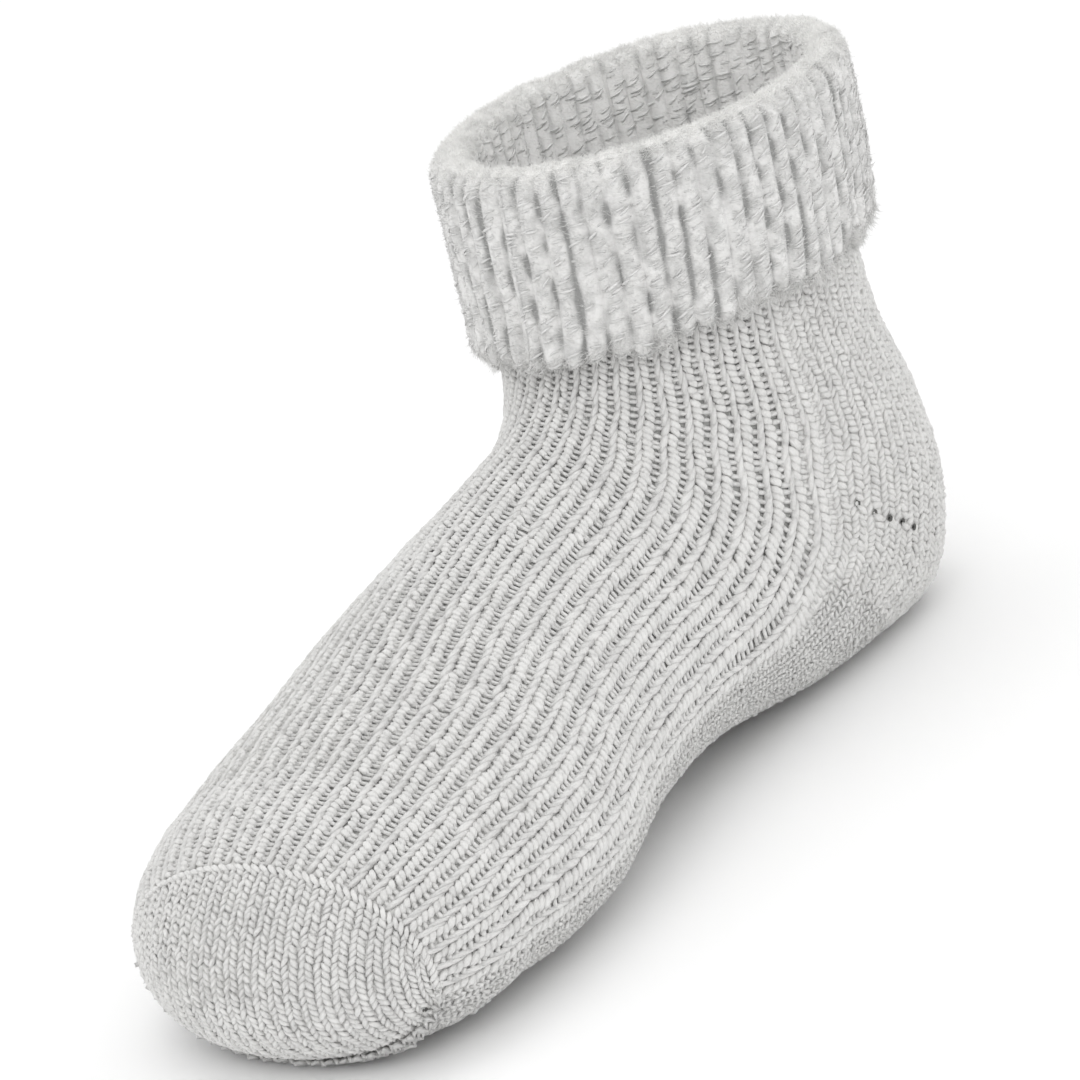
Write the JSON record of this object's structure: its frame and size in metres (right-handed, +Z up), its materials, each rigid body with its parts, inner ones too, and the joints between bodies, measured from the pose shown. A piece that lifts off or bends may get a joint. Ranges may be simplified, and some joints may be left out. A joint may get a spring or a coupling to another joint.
{
  "type": "house sock",
  "caption": "Thick knitted house sock standing on its sole, ribbed instep, plain heel and sole, toe pouch and a turned-down brushed cuff round an open collar.",
  "frame": {"origin": "Middle of the sock's length and breadth, on the floor that the sole stands on.", "axes": "+Z up through the leg, -X from the heel to the toe, -Y towards the big toe's side of a right foot"},
  "size_m": [0.24, 0.093, 0.127],
  "materials": {
    "knit_yarn": "matt melange yarn, ribbed on the instep and plain on heel, sole and toe",
    "brushed_loops": "soft brushed loop pile in upright ribs"
  },
  "bodies": {
    "root": {"sock_body": "knit_yarn", "turned_cuff": "brushed_loops"}
  },
  "joints": []
}
